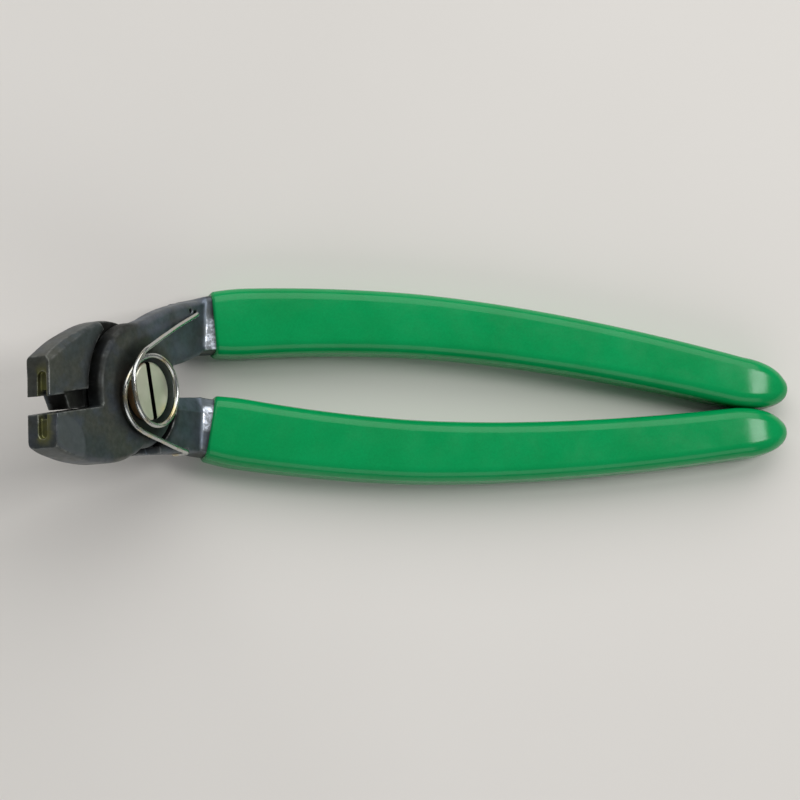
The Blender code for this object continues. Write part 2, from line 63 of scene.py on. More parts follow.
# The frame's pivot, and the head's frame on it
HINGE = frame["joints"][0]
PIVOT = Vector(HINGE["pos_m"])
HEAD_ANGLE = math.radians(45.0)
HEAD_SKEW = math.radians(13.5)
HEAD = Matrix.Translation(PIVOT) @ Matrix.Rotation(HEAD_ANGLE, 4, "Y") @ Matrix.Rotation(HEAD_SKEW, 4, "Z")
FOLD_DISTANCE = 23.8
FOLD_RADIUS = 6.0
FOLD_REACH = FOLD_RADIUS * math.tan(HEAD_ANGLE / 2)
HANDLE_MIDLINE = 7.4

# Forgings
FACE = 4.0
LAP = 0.5 * GAP
FORGED_ROUND = 1.3
NOTCH = 1.85
NOTCH_END = (-25.5, -24.2)
TIP = -31.4
TIP_LEAN = 0.14
UPPER_JAW_FACE = 2.0
JAW_STEP_START = -5.2
JAW_STEP_RUN = 2.0
SHANK_FLAT_EDGE = [(9.0, -4.35), (30.0, -8.05)]
SHANK_FLAT_WIDTH = 5.0
SHANK_FLAT_DROP = 2.4
BOSS_RADIUS = 15.2
CHEEK_RADIUS = 12.4
CHEEK_CLEARANCE = 0.5
SHOULDER_RADIUS = 17.0
SHOULDER_END = 122.0
LOWER_LAP_RADIUS = 13.9
CHANNEL_START = NOTCH_END[0] - 0.6
CHANNEL_FOOT = -14.0
CHANNEL_SIDE = 2.2
WEB_REACH = 16.2
CLIP_GROOVE_HALF_WIDTH = 1.15
CLIP_GROOVE_LENGTH = 5.3
CLIP_GROOVE_DEPTH = 1.2
SPRING_NOTCH = (12.6, 14.8)
SPRING_NOTCH_FLOOR = -13.85
OPENING = 26.0
UPPER_JAW_ROOT = 64.0
UPPER_SHANK_ROOT = 80.0
LOWER_JAW_ROOT = 262.0
LOWER_SHANK_ROOT = -86.0
LAP_HUB = 10.0
LAP_PAST = 5.0
SHOULDER_START = 96.0
SHOULDER_FOOT = 190.0
LOWER_JAW_LAP = 188.0
UPPER_SHANK_LAP = -8.0
PAST = 1.0
FAR = 60.0
CLEAR = 6.0
JAW_CHAMFER = [(-36.0, 9.4, 2.4, 1.9), (-24.0, 13.0, 1.4, 1.1), (-14.0, 15.6, 0.3, 0.2)]
WAVE_HEIGHT = 0.035
WAVE_LENGTH = 9.0
WAVES = 9

# Marks on the steel. A pair of numbers runs from where there is none of a mark to where all of it is.
# A skin is how far below the upper face a mark reaches, or how far it stays off the underside.
# Worn edges, also painted lighter as an edge highlight: how much an edge must bulge to be marked.
EDGE_BULGE = (0.004, 0.035)
TOP_SKIN = 0.6
UNDERSIDE_SKIN = 1.0
GRIND_CENTRE = (-29.3, -9.0)
GRIND_RADIUS = 6.4
GRIND_EDGE = (GRIND_RADIUS + 0.35, GRIND_RADIUS - 0.35)
GRIND_SLOPE = (-22.0, -33.0)
GRIND_DEPTH = 0.22
GRIND_SKIN = 0.3
# Painted olive reflection in the clip grooves: how deep, how high and how far along it reaches.
REFLECTION_DEPTH = (2.2, 1.5)
REFLECTION_UNDER = (-1.5, -1.0)
REFLECTION_OVER_LOWER_JAW = (2.9, 1.4)
REFLECTION_OVER_UPPER_JAW = (1.6, 1.2)
REFLECTION_REACH = NOTCH + CLIP_GROOVE_LENGTH + 0.4
REFLECTION_END = (REFLECTION_REACH + 1.6, REFLECTION_REACH - 0.6)
# Painted shade: how far the near-black darkening reaches round the boss, under the coil and in the recesses.
SHADE_JAW_SIDE = (4.0, -3.0)
SHADE_UNDER_COIL = (12.0, 9.4)
SHADE_COIL_SHARE = 0.85
SHADE_RIM_INSIDE = (12.8, 15.4)
SHADE_RIM_OUTSIDE = (17.5, 15.6)
SHADE_RIM_SHARE = 0.9
SHADE_ABOVE_NOTCH = (-NOTCH - 1.5, NOTCH)
SHADE_RELIEF = (SHOULDER_RADIUS + 2.4, SHOULDER_RADIUS - 0.2)
SHADE_CHANNEL_START = (CHANNEL_START - 0.3, CHANNEL_START + 0.4)
SHADE_CHANNEL_SIDE = (2.7, 2.1)
SHADE_FOOT = (CHEEK_RADIUS + 2.2, CHEEK_RADIUS + 0.6)
SCALE_BEFORE_GRIP = (1.6, 0.4)
SCALE_OFF_BOSS = (CHEEK_RADIUS - 0.5, CHEEK_RADIUS + 1.5)
SCALE_START = (0.0, 6.0)
FLAT_SHEEN_EDGE = (-0.2, 0.2)
SCALE_UPPER_SHANK = 0.45
SCALE_LOWER_SHANK = 0.35
# Painted highlight along the fold: where the strip starts and ends and how far across it reaches.
HIGHLIGHT_START = (0.9, 1.5)
HIGHLIGHT_END = (6.5, 5.0)
HIGHLIGHT_INNER = (-6.2, -5.0)
HIGHLIGHT_OUTER = (1.8, 0.6)

# Pivot hardware
SCREW_HEAD_RADIUS = 6.35
SCREW_HEAD_TOP = 6.3
SCREW_SHANK_RADIUS = 3.6
SCREW_EDGE_ROUND = 0.5
SCREW_UNDER_EDGE = 0.15
SCREW_END = 0.6
SCREW_LEAD = 0.5
SCREW_LEAD_DEPTH = 0.35
SCREW_NECK = 0.4
THREAD_PITCH = 1.0
THREAD_DEPTH = 0.45
THREAD_STEPS = 64
SLOT_HALF_WIDTH = 0.65
SLOT_DEPTH = 1.3
SLOT_ANGLE = math.radians(94.0)
SLOT_SKIN = 0.02
HEAD_SKIN = 0.1
HEAD_BROWN_START = 0.2
WASHER_RADIUS = 6.4
WASHER_THICKNESS = 0.8
NUT_RADIUS = 6.35
NUT_THICKNESS = 3.2
NUT_CROWN = 0.6
NUT_CROWN_IN = 0.2
NUT_CROWN_PAST = 0.1
NUT_CLEARANCE = 0.12
WASHER_EDGE = 0.18

# Return spring
WIRE_RADIUS = 0.55
COIL = [
    (98.0, 9.45, 7.4),
    (121.0, 8.9, 7.5),
    (139.0, 8.75, 7.5),
    (155.0, 8.5, 7.5),
    (172.0, 7.95, 7.5),
    (190.0, 7.65, 7.5),
    (230.0, 7.6, 7.5),
    (270.0, 7.65, 7.5),
    (315.0, 7.7, 7.5),
    (360.0, 7.75, 7.5),
    (405.0, 7.7, 7.4),
    (440.0, 7.7, 7.05),
    (470.0, 7.7, 6.55),
    (495.0, 7.75, 6.1),
    (512.0, 7.95, 5.7),
    (530.0, 8.3, 5.3),
    (550.0, 8.55, 5.0),
    (575.0, 8.75, 4.87),
    (600.0, 8.9, 4.86),
]
ARM_HOLE = (23.0, 15.4)
SPARE_HOLE = (21.2, 16.2)
ARM_HOLE_RADIUS = WIRE_RADIUS + GAP
SPARE_HOLE_RADIUS = 0.55
ARM_HOLE_DEPTH = 2.6
UPPER_ARM = [(22.6, 15.3, 4.6), (20.8, 14.9, 5.0), (14.0, 13.4, 5.7), (5.6, 11.3, 6.75)]
LOWER_ARM = [
    (-2.2, -8.85, 4.86),
    (2.3, -10.6, 4.86),
    (8.0, -12.85, 4.86),
    (11.4, -14.05, 4.85),
    (12.9, -14.5, 4.75),
    (13.6, -14.75, 3.9),
    (13.7, -14.8, 2.4),
    (13.7, -14.8, 0.6),
]
ARM_END = 2.2
ARM_BEND = 3.6
WIRE_CAP = 0.5
WIRE_STEPS = 10
WIRE_SIDES = 20

# Handles: x from the fold to the tips, y from their midline
BOW_X = 48.0
BOW = 14.4
BOW_FALL_HEAD = 3.2
BOW_FALL_TIP = 8.5
BOW_POWER_TIP = 1.7
TIP_START = 126.0
TIP_SLOPE = 0.097
GRIP_END = 138.27
GRIP_START = 3.8
LIP_STATIONS = (5.2, 6.0, 7.0, 8.0)
BODY_STATIONS = np.arange(10.0, TIP_START + 0.1, 2.0)
CAVITY_STATIONS = (*range(6, 118, 4), 120.0, 122.0, 123.4, 124.2)
GRIP_HALF_WIDTH = 7.635
GRIP_TAPER = 0.0164
TAPER_START = 10.0
GRIP_HALF_THICKNESS = 5.3
GRIP_CORNER = 3.0
CAVITY_CORNER = 1.5
CAVITY_PAST_TANG = 0.5
GRIP_WALL = 1.0
LIP_THINNING = 0.5
LIP_LENGTH = 8.0
LIP_ROUND = 0.7
TANG_END = 124.0
TANG_STATIONS = (0.0, 2.0, 4.0, *range(8, 114, 4))
TIP_POWER = 2.2

# Fineness of the meshes
ARC_STEP = 3.0
WIDE_ARC_STEP = 12.0
OUTLINE_STEPS = 6
EDGE_SEGMENTS = 4
VOXEL = 0.12
SMOOTHING = 15
FORGING_FACES = 0.12
EDGE_STEPS = 12
EDGE_SPREAD_STEPS = 5
NUT_VOXEL = 0.1
TURNED_SIDES = 96
SMALL_HOLE_SIDES = 24
WIRE_CAP_ANGLES = (15, 40, 65)
WELD = 0.0005
TIP_GAP = 0.01
SLOPE_STEP = 0.1
SOLID_EDGE = math.radians(30.0)
GRIP_EDGE = math.radians(50.0)
NUT_SMOOTHING = 3
NUT_FACES = 0.3


# ---- Shapes shared by the pieces ----


def along_and_across(a, b):
    """How far a point of the head lies past the fold, and how far across the handles' midline."""
    along = a * math.cos(HEAD_SKEW) - b * math.sin(HEAD_SKEW) - FOLD_DISTANCE
    across = a * math.sin(HEAD_SKEW) + b * math.cos(HEAD_SKEW) - HANDLE_MIDLINE
    return along, across


def from_handle(x, y):
    """The head's (a, b) of a point that lies x past the fold and y across the handles' midline."""
    along = x + FOLD_DISTANCE
    across = y + HANDLE_MIDLINE
    a = along * math.cos(HEAD_SKEW) + across * math.sin(HEAD_SKEW)
    b = across * math.cos(HEAD_SKEW) - along * math.sin(HEAD_SKEW)
    return a, b


def stand(flat):
    """Flat points in millimetres, folded and placed: an array of world positions in metres."""
    flat = np.asarray(flat, float)
    a, b, h = flat.T
    along, across = along_and_across(a, b)
    left = HEAD_ANGLE * (1.0 - np.clip((along + FOLD_REACH) / (2 * FOLD_REACH), 0.0, 1.0))
    past = np.maximum(along - FOLD_REACH, 0.0)
    x = FOLD_REACH + past - (FOLD_RADIUS - h) * np.sin(left)
    z = FOLD_RADIUS - (FOLD_RADIUS - h) * np.cos(left)
    level = x * math.cos(HEAD_ANGLE) - z * math.sin(HEAD_ANGLE)
    rise = x * math.sin(HEAD_ANGLE) + z * math.cos(HEAD_ANGLE)
    folded = np.stack([*from_handle(level, across), rise], axis=1)
    bent = np.where((along > -FOLD_REACH)[:, None], folded, flat)
    world = np.array(HEAD)
    return bent * MM @ world[:3, :3].T + world[:3, 3]


def arc(radius, start, end, centre=(0.0, 0.0), step=ARC_STEP):
    steps = max(1, math.ceil(abs(end - start) / step))
    start = math.radians(start)
    sweep = math.radians(end) - start
    angles = [start + sweep * i / steps for i in range(steps + 1)]
    return [(centre[0] + radius * math.cos(t), centre[1] + radius * math.sin(t)) for t in angles]


def section(half_width, half_thickness, corner, steps=8):
    """A rectangle with round corners, counter-clockwise, as points (across, h)."""
    corner = min(corner, half_width, half_thickness)
    points = []
    for i, (side, face) in enumerate([(1, 1), (-1, 1), (-1, -1), (1, -1)]):
        for j in range(steps + 1):
            angle = math.radians(90.0 * (i + j / steps))
            across = side * (half_width - corner) + corner * math.cos(angle)
            points.append((across, face * (half_thickness - corner) + corner * math.sin(angle)))
    return points


def smooth_through(points, steps):
    """A Catmull-Rom curve through the points, with the given number of steps between two of them."""
    points = [Vector(p) for p in points]
    before = 2 * points[0] - points[1]
    after = 2 * points[-1] - points[-2]
    padded = [before, *points, after]
    made = []
    for p0, p1, p2, p3 in zip(padded, padded[1:], padded[2:], padded[3:]):
        for i in range(steps):
            t = i / steps
            linear = (p2 - p0) * t
            square = (2 * p0 - 5 * p1 + 4 * p2 - p3) * t**2
            cube = (3 * p1 - p0 - 3 * p2 + p3) * t**3
            made.append(tuple((2 * p1 + linear + square + cube) * 0.5))
    return [*made, tuple(points[-1])]


def smoothstep(low, high, value):
    """From 0 at low to 1 at high, level at both ends; low may be the greater of the two."""
    t = np.clip((value - low) / (high - low), 0.0, 1.0)
    return t * t * (3.0 - 2.0 * t)


def handle_centre(x):
    """How far a handle's middle lies from the midline: it bows out, then comes back to the tip."""
    if x > TIP_START:
        return BOW - BOW_FALL_TIP - (x - TIP_START) * TIP_SLOPE
    if x > BOW_X:
        return BOW - BOW_FALL_TIP * ((x - BOW_X) / (TIP_START - BOW_X)) ** BOW_POWER_TIP
    return BOW - BOW_FALL_HEAD * ((x - BOW_X) / BOW_X) ** 2


def grip_half_width(x):
    return GRIP_HALF_WIDTH - GRIP_TAPER * max(0.0, x - TAPER_START)


def tang_half_width(x):
    return grip_half_width(x) - GRIP_WALL - GAP


def tang_edge(x, side, outer):
    offset = tang_half_width(x) if outer else -tang_half_width(x)
    return from_handle(x, side * (handle_centre(x) + offset))


def tang_outline(side):
    """The steel inside a grip: its inner edge, its round end and its outer edge."""
    end_radius = tang_half_width(TANG_END)
    centre_x = TANG_END - end_radius
    middle = from_handle(centre_x, side * handle_centre(centre_x))
    line = -math.degrees(HEAD_SKEW)
    inner = [tang_edge(x, side, False) for x in TANG_STATIONS]
    outer = [tang_edge(x, side, True) for x in reversed(TANG_STATIONS)]
    end = arc(end_radius, line - side * 90.0, line + side * 90.0, middle, WIDE_ARC_STEP)
    return [*inner, *end, *outer]


def tip_at(b):
    return TIP + TIP_LEAN * b


# ---- Meshes ----


def to_object(name, bm):
    mesh = bpy.data.meshes.new(name)
    bm.to_mesh(mesh)
    bm.free()
    made = bpy.data.objects.new(name, mesh)
    bpy.context.scene.collection.objects.link(made)
    return made


def loft(name, rings):
    """A closed solid through rings of as many points each, with flat ends."""
    bm = bmesh.new()
    made = [[bm.verts.new(point) for point in ring] for ring in rings]
    bm.faces.new(made[0])
    bm.faces.new(made[-1])
    for ring, following in zip(made, made[1:]):
        for i in range(len(ring)):
            j = (i + 1) % len(ring)
            bm.faces.new((ring[i], ring[j], following[j], following[i]))
    bmesh.ops.remove_doubles(bm, verts=bm.verts, dist=WELD)
    bmesh.ops.recalc_face_normals(bm, faces=bm.faces)
    return to_object(name, bm)


def prism(name, outline, low, high):
    return loft(name, [[(a, b, h) for a, b in outline] for h in (low, high)])


def cylinder(name, radius, low, high, centre=(0.0, 0.0), sides=TURNED_SIDES):
    ring = arc(radius, 0.0, 360.0, centre, 360.0 / sides)
    return prism(name, ring[:-1], low, high)


def circle(radius, h):
    turns = [2 * math.pi / TURNED_SIDES * i for i in range(TURNED_SIDES)]
    return [(radius * math.cos(t), radius * math.sin(t), h) for t in turns]


def turned(name, profile):
    """A solid turned about the pivot's axis: its profile runs from one flat end to the other."""
    return loft(name, [circle(radius, h) for radius, h in profile])


def turned_ring(name, profile):
    """A ring round the pivot's axis, whose closed section is the profile's (radius, h) points."""
    bm = bmesh.new()
    circles = [circle(radius, h) for radius, h in profile]
    loops = [[bm.verts.new(point) for point in loop] for loop in zip(*circles)]
    for loop, following in zip(loops, [*loops[1:], loops[0]]):
        for j in range(len(profile)):
            k = (j + 1) % len(profile)
            bm.faces.new((loop[j], loop[k], following[k], following[j]))
    bmesh.ops.recalc_face_normals(bm, faces=bm.faces)
    return to_object(name, bm)


def bake(made):
    """The object's modifiers applied to its mesh."""
    graph = bpy.context.evaluated_depsgraph_get()
    graph.update()
    old = made.data
    made.data = bpy.data.meshes.new_from_object(made.evaluated_get(graph), depsgraph=graph)
    made.modifiers.clear()
    bpy.data.meshes.remove(old)


def cut(target, cutters, operation="DIFFERENCE"):
    """Booleans with each cutter in turn, after which the cutters are removed."""
    for cutter in cutters:
        step = target.modifiers.new(cutter.name, "BOOLEAN")
        step.operation = operation
        step.solver = "EXACT"
        step.object = cutter
    bake(target)
    for cutter in cutters:
        bpy.data.objects.remove(cutter, do_unlink=True)


def remesh(made, voxel, smoothing):
    """An even fine mesh, with the sharp edges broken a little."""
    fine = made.modifiers.new("fine", "REMESH")
    fine.mode = "VOXEL"
    fine.voxel_size = voxel
    soft = made.modifiers.new("soft", "SMOOTH")
    soft.factor = 0.5
    soft.iterations = smoothing
    bake(made)


def thin_out(made, share):
    """The same surface with about that share of its faces, most of them left where it curves."""
    fewer = made.modifiers.new("fewer", "DECIMATE")
    fewer.ratio = share
    bake(made)


def positions(mesh):
    values = np.empty(len(mesh.vertices) * 3)
    mesh.vertices.foreach_get("co", values)
    return values.reshape(-1, 3)


def normals(mesh):
    values = np.empty(len(mesh.vertices) * 3)
    mesh.vertex_normals.foreach_get("vector", values)
    return values.reshape(-1, 3)


def put_positions(mesh, values):
    mesh.vertices.foreach_set("co", np.asarray(values, float).ravel())
    mesh.update()


def paint(mesh, name, values):
    """A value for each point, which a material reads by its name."""
    layer = mesh.attributes.get(name) or mesh.attributes.new(name, "FLOAT", "POINT")
    layer.data.foreach_set("value", np.asarray(values, np.float32))


def neighbour_mean(mesh, values, times):
    """The values, each averaged with its neighbours' along the mesh's edges."""
    ends = np.empty(len(mesh.edges) * 2, np.int32)
    mesh.edges.foreach_get("vertices", ends)
    ends = ends.reshape(-1, 2)
    count = np.bincount(ends.ravel(), minlength=len(values)).astype(float)
    for _ in range(times):
        total = np.bincount(ends[:, 0], weights=values[ends[:, 1]], minlength=len(values))
        total += np.bincount(ends[:, 1], weights=values[ends[:, 0]], minlength=len(values))
        values = 0.5 * values + 0.5 * total / np.maximum(count, 1.0)
    return values


def edge_wear_and_highlight(mesh):
    """How sharply the surface turns outwards at each point, from 0 on a flat or a hollow to 1 on an edge."""
    place = positions(mesh)
    around = np.stack([neighbour_mean(mesh, place[:, i], EDGE_STEPS) for i in range(3)], axis=1)
    bulge = np.einsum("ij,ij->i", place - around, normals(mesh))
    return smoothstep(*EDGE_BULGE, bulge)


def waviness(place, scale, seed):
    """A smooth irregular height, mostly between -1 and 1, from a few crossed waves."""
    rng = np.random.default_rng(seed)
    total = np.zeros(len(place))
    for _ in range(WAVES):
        direction = rng.normal(size=3)
        direction *= 2 * math.pi / scale * rng.uniform(0.6, 1.5) / np.linalg.norm(direction)
        total += np.sin(place @ direction + rng.uniform(0.0, 2 * math.pi))
    return total / math.sqrt(WAVES)


def dress(made, slot, body, node):
    """Gives a piece its material and its body, and hides the frame's node that it stands for."""
    made.data.materials.clear()
    made.data.materials.append(LOOKS[slot])
    made.data.shade_smooth()
    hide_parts(node)
    if body:
        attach(made, body)


# ---- Forgings ----


def front_outline():
    """Lower jaw, boss and upper shank, counter-clockwise from the lower jaw's outer corner."""
    jaw = smooth_through(
        [
            (tip_at(-9.1), -9.1),
            (-30.3, -10.35),
            (-27.0, -11.5),
            (-21.8, -13.05),
            (-16.6, -14.0),
            (-12.5, -14.4),
            (-8.6, -14.2),
            (-3.9, -13.2),
        ],
        OUTLINE_STEPS,
    )
    cheek = arc(CHEEK_RADIUS, -98.0, 14.0)
    shank_in = [(13.4, 4.6), (17.0, 4.9)]
    shank_out = smooth_through(
        [(25.2, 18.15), (19.5, 18.1), (14.0, 17.6), (9.0, 16.75), (4.6, 15.6)], OUTLINE_STEPS
    )
    boss = arc(BOSS_RADIUS, 84.0, 187.0)
    forged = [*jaw, *cheek, *shank_in, *tang_outline(1), *shank_out, *boss]
    return forged, [(tip_at(-NOTCH), -NOTCH)]


def back_outline():
    """Upper jaw, lap disc and lower shank, clockwise from the upper jaw's outer corner."""
    jaw = smooth_through(
        [
            (tip_at(10.4), 10.4),
            (-25.4, 12.45),
            (-20.4, 14.05),
            (-15.5, 15.3),
            (-11.5, 16.05),
            (-7.6, 16.3),
            (-3.9, 15.95),
            (0.0, 15.0),
            (4.4, 12.4),
        ],
        OUTLINE_STEPS,
    )
    cheek = arc(CHEEK_RADIUS, 62.0, -8.0)
    shank_in = [(13.6, -2.3), (17.4, -2.7)]
    shank_out = [(15.1, -14.9), (9.5, -14.4), (4.5, -14.1)]
    lap = arc(LOWER_LAP_RADIUS, 278.0, 188.0)
    forged = [*jaw, *cheek, *shank_in, *tang_outline(-1), *shank_out, *lap]
    web = -NOTCH + GAP
    return forged, [(NOTCH_END[1], web), (NOTCH_END[0], NOTCH), (tip_at(NOTCH), NOTCH)]


def rounded_forging(name, forged, machined):
    """A slab whose forged edges are rounded, and whose machined edges are left sharp."""
    made = prism(name, [*forged, *machined], -FACE, FACE)
    bm = bmesh.new()
    bm.from_mesh(made.data)
    bm.verts.ensure_lookup_table()
    count = len(forged) + len(machined)
    rims = []
    for i in range(len(forged) - 1):
        for base in (0, count):
            rims.append(bm.edges.get((bm.verts[base + i], bm.verts[base + i + 1])))
    bmesh.ops.bevel(
        bm,
        geom=rims,
        offset=FORGED_ROUND,
        segments=EDGE_SEGMENTS,
        profile=0.5,
        affect="EDGES",
        clamp_overlap=True,
    )
    bm.to_mesh(made.data)
    bm.free()
    return made


def clip_groove_cutters(side, name):
    """The groove for a clip: down a jaw's end face, and along its side of the notch."""
    width = CLIP_GROOVE_HALF_WIDTH
    reach = NOTCH + CLIP_GROOVE_LENGTH - width
    round_end = [(side * (reach + b), h) for b, h in arc(width, -90.0, 90.0, step=WIDE_ARC_STEP)]
    middle = side * (NOTCH - PAST)
    profile = [(middle, -width), *round_end, (middle, width)]
    end_face = loft(
        name + "_end_groove",
        [
            [(TIP - CLEAR, b, h) for b, h in profile],
            [(tip_at(b) + CLIP_GROOVE_DEPTH, b, h) for b, h in profile],
        ],
    )
    inner = NOTCH_END[0] - PAST
    wall = side * (NOTCH + CLIP_GROOVE_DEPTH)
    notch_wall = [(TIP - CLEAR, 0.0), (inner, 0.0), (inner, wall), (TIP - CLEAR, wall)]
    return [end_face, prism(name + "_notch_groove", notch_wall, -width, width)]


def sector(start, end, radius=FAR):
    """The outline of a ring's sector round the pivot, between two angles in degrees."""
    return [*arc(LAP_HUB, start, end), *arc(radius, end, start)]


def front_flat():
    """The front half: its far side is cut away where it laps over the back half."""
    made = rounded_forging("front_forging", *front_outline())
    low = -FACE - PAST
    top = FACE + PAST
    edge = -NOTCH - LAP
    web = [(-WEB_REACH, edge), (-LAP_HUB, edge), (-LAP_HUB, PAST), (-WEB_REACH, PAST)]
    floor = FACE - ARM_HOLE_DEPTH
    cutters = [
        cylinder("lap_disc", LOWER_LAP_RADIUS + GAP, low, LAP),
        prism("lap_upper_jaw", sector(UPPER_JAW_ROOT - OPENING, 180.0), low, LAP),
        prism("lap_lower_shank", sector(LOWER_SHANK_ROOT - OPENING, LAP_PAST), low, LAP),
        prism("lap_web", web, low, LAP),
        cylinder("pivot_hole", SCREW_SHANK_RADIUS + GAP, low, top),
        cylinder("arm_hole", ARM_HOLE_RADIUS, floor, top, ARM_HOLE, SMALL_HOLE_SIDES),
        cylinder("spare_hole", SPARE_HOLE_RADIUS, floor, top, SPARE_HOLE, SMALL_HOLE_SIDES),
        *clip_groove_cutters(-1, "lower"),
    ]
    cut(made, cutters)
    return made


def step_down_jaw(made):
    """Lowers the upper jaw's face below the joint's, over a short slope."""
    bm = bmesh.new()
    bm.from_mesh(made.data)
    for a in (JAW_STEP_START, JAW_STEP_START - JAW_STEP_RUN):
        everything = [*bm.verts, *bm.edges, *bm.faces]
        bmesh.ops.bisect_plane(bm, geom=everything, plane_co=(a, 0.0, 0.0), plane_no=(1.0, 0.0, 0.0))
    for vert in bm.verts:
        share = (JAW_STEP_START - vert.co.x) / JAW_STEP_RUN
        if vert.co.z > 0.0:
            vert.co.z -= (FACE - UPPER_JAW_FACE) * min(max(share, 0.0), 1.0)
    bm.to_mesh(made.data)
    bm.free()


def recess_ramp():
    """The channel that falls from the upper jaw's face to the lap under the boss."""
    start, end = CHANNEL_START, CHANNEL_FOOT
    top = FACE + PAST
    profile = [(start, UPPER_JAW_FACE), (end, LAP), (end, top), (start, top)]
    sides = (-NOTCH - PAST, CHANNEL_SIDE)
    return loft("recess_ramp", [[(a, b, h) for a, h in profile] for b in sides])


def shank_flat():
    """The slanting flat along the lower shank's inner edge."""
    rings = []
    top = FACE + PAST
    for a, b in SHANK_FLAT_EDGE:
        over = b + SHANK_FLAT_WIDTH
        rings.append([(a, b, FACE), (a, over, FACE - SHANK_FLAT_DROP), (a, over, top), (a, b, top)])
    return loft("shank_flat", rings)


def jaw_chamfer():
    """The chamfer along the upper jaw's outer edge, widest at the tip."""
    rings = []
    top = UPPER_JAW_FACE + PAST
    for a, b, width, depth in JAW_CHAMFER:
        inner, outer = b - width, b + width
        low = UPPER_JAW_FACE - 2 * depth
        rings.append([(a, inner, UPPER_JAW_FACE), (a, outer, low), (a, outer, top), (a, inner, top)])
    return loft("jaw_chamfer", rings)


def spring_notch():
    """The notch in the lower shank's outer edge, which holds the spring's lower arm."""
    start, end = SPRING_NOTCH
    outline = [(start, -FAR), (end, -FAR), (end, SPRING_NOTCH_FLOOR), (start, SPRING_NOTCH_FLOOR)]
    return prism("spring_notch", outline, -FACE - PAST, FACE + PAST)


def back_flat():
    """The back half: its near side is cut away for the front half's boss, shank and jaw."""
    made = rounded_forging("back_forging", *back_outline())
    step_down_jaw(made)
    top = FACE + PAST
    cutters = [
        cylinder("cheek_recess", CHEEK_RADIUS + CHEEK_CLEARANCE, -LAP, top),
        prism("boss_recess", sector(SHOULDER_START, SHOULDER_FOOT, SHOULDER_RADIUS), -LAP, top),
        prism("lap_upper_shank", sector(UPPER_SHANK_LAP, UPPER_SHANK_ROOT + OPENING), -LAP, top),
        prism("shoulder_end", sector(SHOULDER_START, SHOULDER_END), -LAP, top),
        prism("lap_lower_jaw", sector(LOWER_JAW_LAP, LOWER_JAW_ROOT + OPENING), -LAP, top),
        cylinder("pivot_hole", SCREW_SHANK_RADIUS + GAP, -top, top),
        recess_ramp(),
        shank_flat(),
        jaw_chamfer(),
        spring_notch(),
        *clip_groove_cutters(1, "upper"),
    ]
    cut(made, cutters)
    return made


def grind_jaw(place):
    """How much of the lower jaw's round grinding mark is at each point of its upper face."""
    a, b, h = place.T
    distance = np.hypot(a - GRIND_CENTRE[0], b - GRIND_CENTRE[1])
    return smoothstep(*GRIND_EDGE, distance) * (h > FACE - GRIND_SKIN) * (b < -NOTCH)


def painted_groove_reflection(place):
    """Painted olive reflection in the clip grooves and round them on the jaws' end faces."""
    a, b, h = place.T
    end = smoothstep(*REFLECTION_DEPTH, a - tip_at(b))
    over = np.where(b < 0.0, smoothstep(*REFLECTION_OVER_LOWER_JAW, h), smoothstep(*REFLECTION_OVER_UPPER_JAW, h))
    across = smoothstep(*REFLECTION_UNDER, h) * over
    along = smoothstep(*REFLECTION_END, np.abs(b))
    return end * across * along


def painted_shade_on_front(place):
    """Painted shade on the front half: darkened round the boss's edge and under the coil, where shade falls.
    """
    a, b, h = place.T
    radius = np.hypot(a, b)
    rim = smoothstep(*SHADE_RIM_INSIDE, radius) * smoothstep(*SHADE_RIM_OUTSIDE, radius) * SHADE_RIM_SHARE
    rim *= smoothstep(*SHADE_JAW_SIDE, a) * smoothstep(*SHADE_ABOVE_NOTCH, b)
    coil = smoothstep(*SHADE_UNDER_COIL, radius) * SHADE_COIL_SHARE * (h > FACE - TOP_SKIN)
    return np.maximum(rim, coil)


def painted_shade_on_back(place):
    """Painted shade on the back half: darkened in the relief, the channel and its foot, where shade falls.
    """
    a, b, h = place.T
    radius = np.hypot(a, b)
    jaw_side = smoothstep(*SHADE_JAW_SIDE, a)
    relief = smoothstep(*SHADE_RELIEF, radius) * jaw_side
    channel = smoothstep(*SHADE_CHANNEL_START, a) * smoothstep(*SHADE_CHANNEL_SIDE, np.abs(b))
    foot = smoothstep(*SHADE_FOOT, radius) * (1.0 - jaw_side)
    return np.maximum(np.maximum(relief, channel), foot) * (h > -FACE + UNDERSIDE_SKIN)


def shank_scale_and_flat_sheen(place, front):
    """The bluish scale on the shanks, from the boss to the fold, painted fuller over the lower shank's flat
    as a painted reflection.
    """
    a, b, _ = place.T
    before_grip = smoothstep(*SCALE_BEFORE_GRIP, along_and_across(a, b)[0])
    off_boss = smoothstep(*SCALE_OFF_BOSS, np.hypot(a, b)) * smoothstep(*SCALE_START, a)
    if front:
        return off_boss * before_grip * SCALE_UPPER_SHANK
    # Painted reflection: the lower shank's flat gets the full lighter blue.
    edge_a, edge_b = np.array(SHANK_FLAT_EDGE).T
    flat = smoothstep(*FLAT_SHEEN_EDGE, b - np.interp(a, edge_a, edge_b))
    return off_boss * before_grip * (SCALE_LOWER_SHANK + (1.0 - SCALE_LOWER_SHANK) * flat)


def painted_fold_highlight(place):
    """Painted highlight: a strip painted brighter between the fold and the grip, on the upper face."""
    along, across = along_and_across(place[:, 0], place[:, 1])
    strip = smoothstep(*HIGHLIGHT_START, along) * smoothstep(*HIGHLIGHT_END, along)
    from_centre = np.abs(across) - (BOW - BOW_FALL_HEAD)
    inner = smoothstep(*HIGHLIGHT_INNER, from_centre) * smoothstep(*HIGHLIGHT_OUTER, from_centre)
    return strip * inner * (place[:, 2] > FACE - TOP_SKIN)


